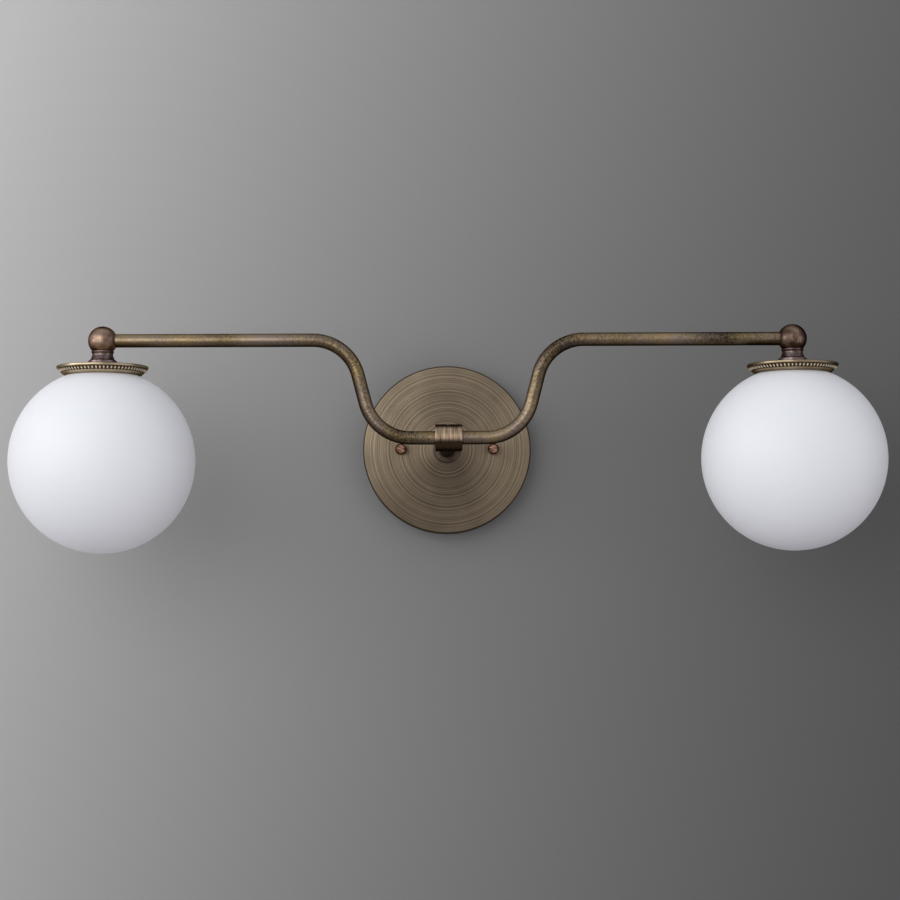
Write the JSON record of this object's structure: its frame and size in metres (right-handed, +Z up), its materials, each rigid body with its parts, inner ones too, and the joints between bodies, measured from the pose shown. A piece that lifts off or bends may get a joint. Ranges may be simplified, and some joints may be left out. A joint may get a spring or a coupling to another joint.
{
  "type": "vanity light",
  "caption": "Wall vanity light: round turned backplate, bent tube arm through a barrel tee, and a closed opal glass globe hanging from a beaded holder at each end.",
  "frame": {"origin": "middle of the backplate on the wall, midway between the two wall box screws", "axes": "+X to the right along the arm, +Y into the wall, +Z up"},
  "size_m": [0.616, 0.2, 0.1598],
  "materials": {
    "turned_brass": "antique brass, turned in fine rings, satin lacquer",
    "tube_brass": "antique brass, mottled brown patina, satin",
    "tee_brass": "antique brass, brushed round the barrel",
    "ball_brass": "dark antique brass, smooth satin",
    "holder_brass": "antique brass, bright on the beads and dark between them",
    "copper_brass": "red antique brass, satin",
    "plain_brass": "plain drawn brass",
    "zinc_steel": "zinc plated steel",
    "green_screw": "green dyed zinc",
    "opal_glass": "white opal glass, satin etched outside",
    "bulb_glass": "clear lamp glass",
    "bulb_metal": "pressed aluminium screw base",
    "bulb_insulator": "black vitrified insulator",
    "porcelain": "glazed white porcelain",
    "silicone": "translucent silicone",
    "wire_insulation": "heat resistant wire insulation",
    "connector_plastic": "moulded polypropylene"
  },
  "bodies": {
    "fixture": {"mounting_bar": "zinc_steel", "bar_studs": "zinc_steel", "stud_lock_nuts": "zinc_steel", "ground_screw": "green_screw", "backplate": "turned_brass", "stem_ring": "turned_brass", "stem": "tube_brass", "stem_nipple": "plain_brass", "stem_washer": "zinc_steel", "stem_nut": "zinc_steel", "tee": "tee_brass", "tee_set_screw": "zinc_steel", "arm_tube": "tube_brass", "wire_nuts": "connector_plastic", "left_ball": "ball_brass", "left_neck": "ball_brass", "left_nipple": "plain_brass", "left_holder": "holder_brass", "left_bead_band": "holder_brass", "left_thread_collar": "zinc_steel", "left_holder_washer": "zinc_steel", "left_holder_nut": "zinc_steel", "left_socket": "porcelain", "left_screw_shell": "plain_brass", "left_centre_contact": "plain_brass", "left_wires": "wire_insulation", "right_ball": "ball_brass", "right_neck": "ball_brass", "right_nipple": "plain_brass", "right_holder": "holder_brass", "right_bead_band": "holder_brass", "right_thread_collar": "zinc_steel", "right_holder_washer": "zinc_steel", "right_holder_nut": "zinc_steel", "right_socket": "porcelain", "right_screw_shell": "plain_brass", "right_centre_contact": "plain_brass", "right_wires": "wire_insulation"},
    "left_knob": {"left_knob": "copper_brass"},
    "left_globe_seal": {"left_gasket": "silicone"},
    "left_globe": {"left_globe": "opal_glass"},
    "left_bulb_tip": {"left_bulb_tip": "bulb_insulator"},
    "left_bulb": {"left_bulb_base": "bulb_metal", "left_bulb_glass": "bulb_glass"},
    "right_knob": {"right_knob": "copper_brass"},
    "right_globe_seal": {"right_gasket": "silicone"},
    "right_globe": {"right_globe": "opal_glass"},
    "right_bulb_tip": {"right_bulb_tip": "bulb_insulator"},
    "right_bulb": {"right_bulb_base": "bulb_metal", "right_bulb_glass": "bulb_glass"}
  },
  "joints": [
    {"name": "left_knob_turn", "type": "hinge", "parent": "fixture", "child": "left_knob", "pos_m": [-0.03492, -0.02, 0], "axis": [0, -1, 0], "range_deg": [0, 1800]},
    {"name": "left_globe_drop", "type": "slide", "parent": "fixture", "child": "left_globe_seal", "axis": [0, 0, -1], "range_m": [0, 0.0036]},
    {"name": "left_globe_turn", "type": "hinge", "parent": "left_globe_seal", "child": "left_globe", "pos_m": [-0.243, -0.135, 0.0693], "axis": [0, 0, -1], "range_deg": [0, 360]},
    {"name": "left_bulb_drop", "type": "slide", "parent": "fixture", "child": "left_bulb_tip", "axis": [0, 0, -1], "range_m": [0, 0.0109]},
    {"name": "left_bulb_turn", "type": "hinge", "parent": "left_bulb_tip", "child": "left_bulb", "pos_m": [-0.243, -0.135, 0.0693], "axis": [0, 0, -1], "range_deg": [0, 1080]},
    {"name": "right_knob_turn", "type": "hinge", "parent": "fixture", "child": "right_knob", "pos_m": [0.03492, -0.02, 0], "axis": [0, -1, 0], "range_deg": [0, 1800]},
    {"name": "right_globe_drop", "type": "slide", "parent": "fixture", "child": "right_globe_seal", "axis": [0, 0, -1], "range_m": [0, 0.0036]},
    {"name": "right_globe_turn", "type": "hinge", "parent": "right_globe_seal", "child": "right_globe", "pos_m": [0.243, -0.135, 0.0693], "axis": [0, 0, -1], "range_deg": [0, 360]},
    {"name": "right_bulb_drop", "type": "slide", "parent": "fixture", "child": "right_bulb_tip", "axis": [0, 0, -1], "range_m": [0, 0.0109]},
    {"name": "right_bulb_turn", "type": "hinge", "parent": "right_bulb_tip", "child": "right_bulb", "pos_m": [0.243, -0.135, 0.0693], "axis": [0, 0, -1], "range_deg": [0, 1080]}
  ],
  "couplings": [
    {"joint": "left_globe_drop", "follows": "left_globe_turn", "m_per_rad": 0.00055704},
    {"joint": "left_bulb_drop", "follows": "left_bulb_turn", "m_per_rad": 0.00057773},
    {"joint": "right_globe_drop", "follows": "right_globe_turn", "m_per_rad": 0.00055704},
    {"joint": "right_bulb_drop", "follows": "right_bulb_turn", "m_per_rad": 0.00057773}
  ]
}
